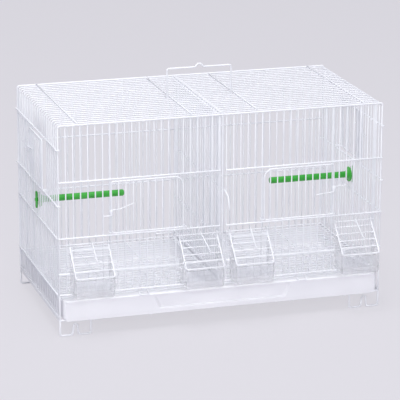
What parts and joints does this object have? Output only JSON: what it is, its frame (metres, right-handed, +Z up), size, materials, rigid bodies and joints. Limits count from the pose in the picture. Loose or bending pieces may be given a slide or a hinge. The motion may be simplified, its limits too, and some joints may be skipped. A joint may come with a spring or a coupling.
{
  "type": "double breeder cage",
  "caption": "White wire bird cage with paired cabins, a pull-out divider, sliding doors, flapped clear feeder cups, wire floor grates, a litter tray and a carry handle.",
  "frame": {"origin": "on the floor under the middle of the whole cage's bounding box", "axes": "+X to the right along the cage as seen from the front, +Y to the back, +Z up"},
  "size_m": [0.625, 0.3666, 0.4454],
  "materials": {
    "white_wire": "white powder coat, slightly glossy",
    "white_tray": "white moulded plastic",
    "clear_plastic": "clear moulded plastic",
    "green_plastic": "green moulded plastic"
  },
  "bodies": {
    "cage": {"front_panel": "white_wire", "front_corner_post_left": "white_wire", "front_corner_post_right": "white_wire", "back_panel": "white_wire", "left_side_panel": "white_wire", "right_side_panel": "white_wire", "left_side_rails": "white_wire", "right_side_rails": "white_wire", "top_panel": "white_wire", "base_frame": "white_wire", "centre_runner": "white_wire", "foot_front_left": "white_wire", "foot_front_right": "white_wire", "foot_back_left": "white_wire", "foot_back_right": "white_wire", "feeder_cup_1": "clear_plastic", "feeder_cup_2": "clear_plastic", "feeder_cup_3": "clear_plastic", "feeder_cup_4": "clear_plastic", "perch_left": "green_plastic", "perch_right": "green_plastic", "perch_nut_left": "green_plastic", "perch_nut_right": "green_plastic"},
    "front_door_left": {"front_door_left": "white_wire"},
    "front_door_right": {"front_door_right": "white_wire"},
    "side_door_left": {"side_door_left": "white_wire"},
    "side_door_right": {"side_door_right": "white_wire"},
    "front_door_latch_left": {"front_door_latch_left": "white_wire"},
    "front_door_latch_right": {"front_door_latch_right": "white_wire"},
    "side_door_latch_left": {"side_door_latch_left": "white_wire"},
    "side_door_latch_right": {"side_door_latch_right": "white_wire"},
    "feeder_flap_1": {"feeder_flap_1": "white_wire"},
    "feeder_flap_2": {"feeder_flap_2": "white_wire"},
    "feeder_flap_3": {"feeder_flap_3": "white_wire"},
    "feeder_flap_4": {"feeder_flap_4": "white_wire"},
    "flap_latch_1": {"flap_latch_1": "white_wire"},
    "flap_latch_2": {"flap_latch_2": "white_wire"},
    "flap_latch_3": {"flap_latch_3": "white_wire"},
    "flap_latch_4": {"flap_latch_4": "white_wire"},
    "tray": {"tray": "white_tray", "tray_floor": "white_tray"},
    "floor_grate_left": {"floor_grate_left": "white_wire"},
    "floor_grate_right": {"floor_grate_right": "white_wire"},
    "divider": {"divider": "white_wire"},
    "handle": {"handle": "white_wire"}
  },
  "joints": [
    {"name": "front_door_left_lift", "type": "slide", "parent": "cage", "child": "front_door_left", "axis": [0, 0, 1], "range_m": [0, 0.0925]},
    {"name": "front_door_right_lift", "type": "slide", "parent": "cage", "child": "front_door_right", "axis": [0, 0, 1], "range_m": [0, 0.0925]},
    {"name": "side_door_left_lift", "type": "slide", "parent": "cage", "child": "side_door_left", "axis": [0, 0, 1], "range_m": [0, 0.0915]},
    {"name": "side_door_right_lift", "type": "slide", "parent": "cage", "child": "side_door_right", "axis": [0, 0, 1], "range_m": [0, 0.0915]},
    {"name": "front_door_latch_left_turn", "type": "hinge", "parent": "front_door_left", "child": "front_door_latch_left", "pos_m": [-0.20667, -0.13957, 0.224], "axis": [0, 0, -1], "range_deg": [0, 24]},
    {"name": "front_door_latch_right_turn", "type": "hinge", "parent": "front_door_right", "child": "front_door_latch_right", "pos_m": [0.20667, -0.13957, 0.2339], "axis": [0, 0, 1], "range_deg": [0, 18]},
    {"name": "side_door_latch_left_turn", "type": "hinge", "parent": "side_door_left", "child": "side_door_latch_left", "pos_m": [-0.3079, 0.05703, 0.29863], "axis": [0, 0, -1], "range_deg": [0, 24]},
    {"name": "side_door_latch_right_turn", "type": "hinge", "parent": "side_door_right", "child": "side_door_latch_right", "pos_m": [0.3079, -0.01037, 0.29863], "axis": [0, 0, -1], "range_deg": [0, 24]},
    {"name": "feeder_flap_1_lift", "type": "hinge", "parent": "cage", "child": "feeder_flap_1", "pos_m": [-0.24667, -0.13357, 0.1685], "axis": [-1, 0, 0], "range_deg": [0, 80]},
    {"name": "feeder_flap_2_lift", "type": "hinge", "parent": "cage", "child": "feeder_flap_2", "pos_m": [-0.04667, -0.13357, 0.1685], "axis": [-1, 0, 0], "range_deg": [0, 80]},
    {"name": "feeder_flap_3_lift", "type": "hinge", "parent": "cage", "child": "feeder_flap_3", "pos_m": [0.04667, -0.13357, 0.1685], "axis": [-1, 0, 0], "range_deg": [0, 80]},
    {"name": "feeder_flap_4_lift", "type": "hinge", "parent": "cage", "child": "feeder_flap_4", "pos_m": [0.24667, -0.13357, 0.1685], "axis": [-1, 0, 0], "range_deg": [0, 80]},
    {"name": "flap_latch_1_swing", "type": "hinge", "parent": "feeder_flap_1", "child": "flap_latch_1", "pos_m": [-0.24667, -0.13357, 0.1685], "axis": [-1, 0, 0], "range_deg": [0, 10]},
    {"name": "flap_latch_2_swing", "type": "hinge", "parent": "feeder_flap_2", "child": "flap_latch_2", "pos_m": [-0.04667, -0.13357, 0.1685], "axis": [-1, 0, 0], "range_deg": [0, 10]},
    {"name": "flap_latch_3_swing", "type": "hinge", "parent": "feeder_flap_3", "child": "flap_latch_3", "pos_m": [0.04667, -0.13357, 0.1685], "axis": [-1, 0, 0], "range_deg": [0, 10]},
    {"name": "flap_latch_4_swing", "type": "hinge", "parent": "feeder_flap_4", "child": "flap_latch_4", "pos_m": [0.24667, -0.13357, 0.1685], "axis": [-1, 0, 0], "range_deg": [0, 10]},
    {"name": "tray_pull", "type": "slide", "parent": "cage", "child": "tray", "axis": [0, -1, 0], "range_m": [0, 0.28]},
    {"name": "floor_grate_left_pull", "type": "slide", "parent": "cage", "child": "floor_grate_left", "axis": [0, -1, 0], "range_m": [0, 0.28]},
    {"name": "floor_grate_right_pull", "type": "slide", "parent": "cage", "child": "floor_grate_right", "axis": [0, -1, 0], "range_m": [0, 0.28]},
    {"name": "divider_pull", "type": "slide", "parent": "cage", "child": "divider", "axis": [0, -1, 0], "range_m": [0, 0.285]},
    {"name": "handle_fold", "type": "hinge", "parent": "cage", "child": "handle", "pos_m": [0, 0.01659, 0.384], "axis": [-1, 0, 0], "range_deg": [-60, 85]}
  ]
}
